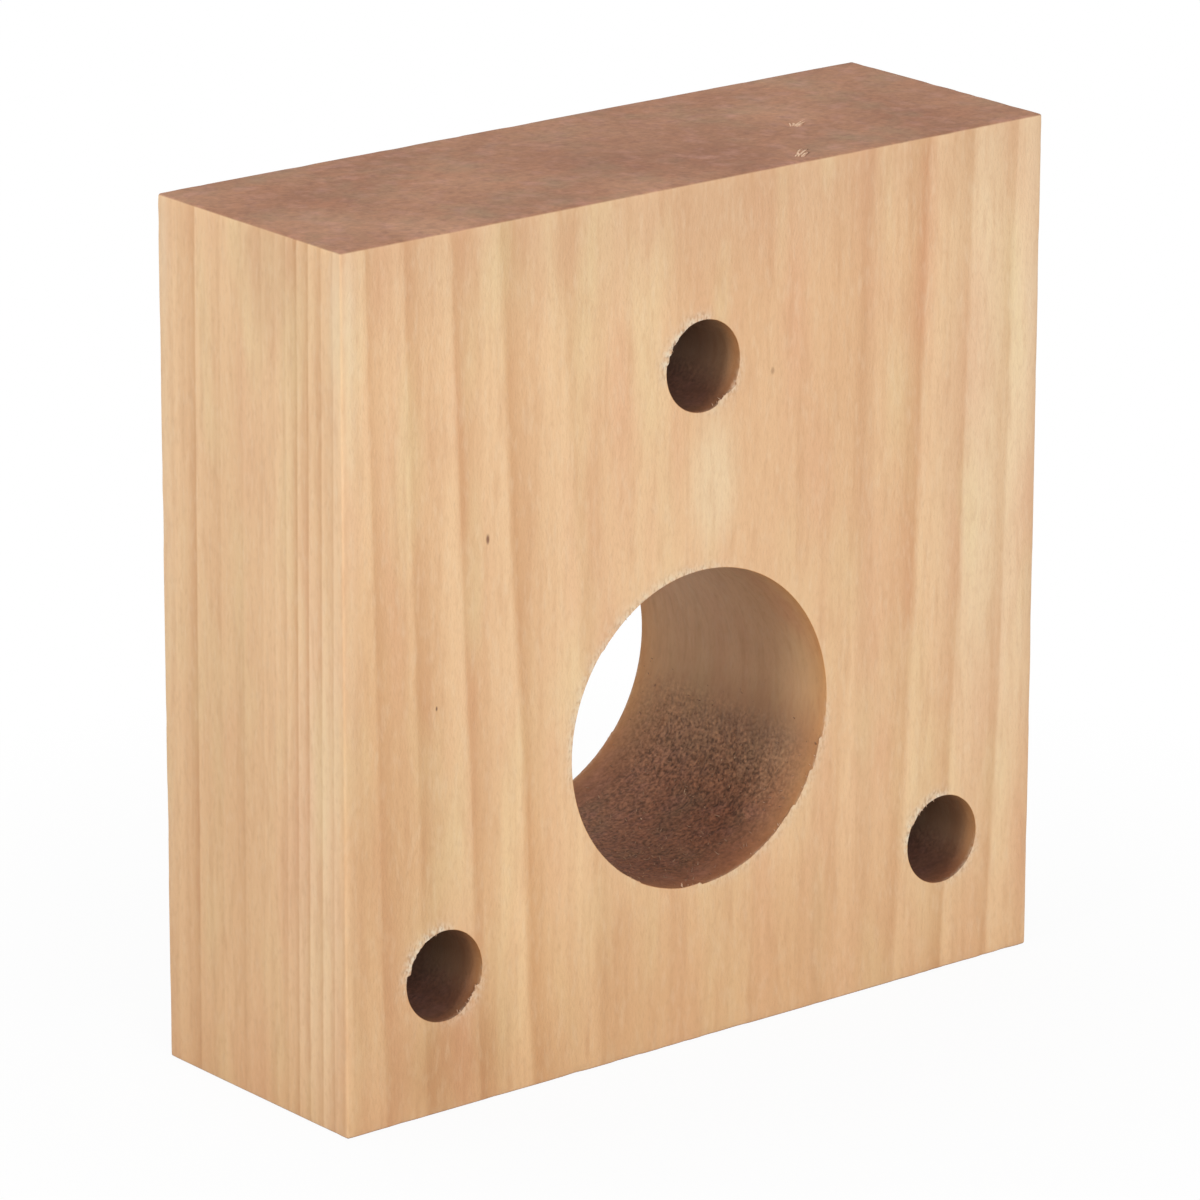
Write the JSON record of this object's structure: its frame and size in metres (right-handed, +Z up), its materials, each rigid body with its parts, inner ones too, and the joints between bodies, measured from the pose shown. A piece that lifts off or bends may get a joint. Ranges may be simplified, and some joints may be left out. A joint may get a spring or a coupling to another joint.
{
  "type": "wooden bearing block",
  "caption": "Square block of oil-soaked hardwood with a plain shaft bore set low and bolt holes on a circle round it; carries a turning shaft in the bare wood.",
  "frame": {"origin": "on the shaft bore's axis, half way through the block", "axes": "+Y along the bore from the front face to the back face, +Z up the grain to the top, +X to the right seen from the front"},
  "size_m": [0.0998, 0.033, 0.1],
  "materials": {
    "oiled_maple": "sawn and bored, soaked in oil, satin"
  },
  "bodies": {
    "root": {"bearing_block": "oiled_maple"}
  },
  "joints": []
}
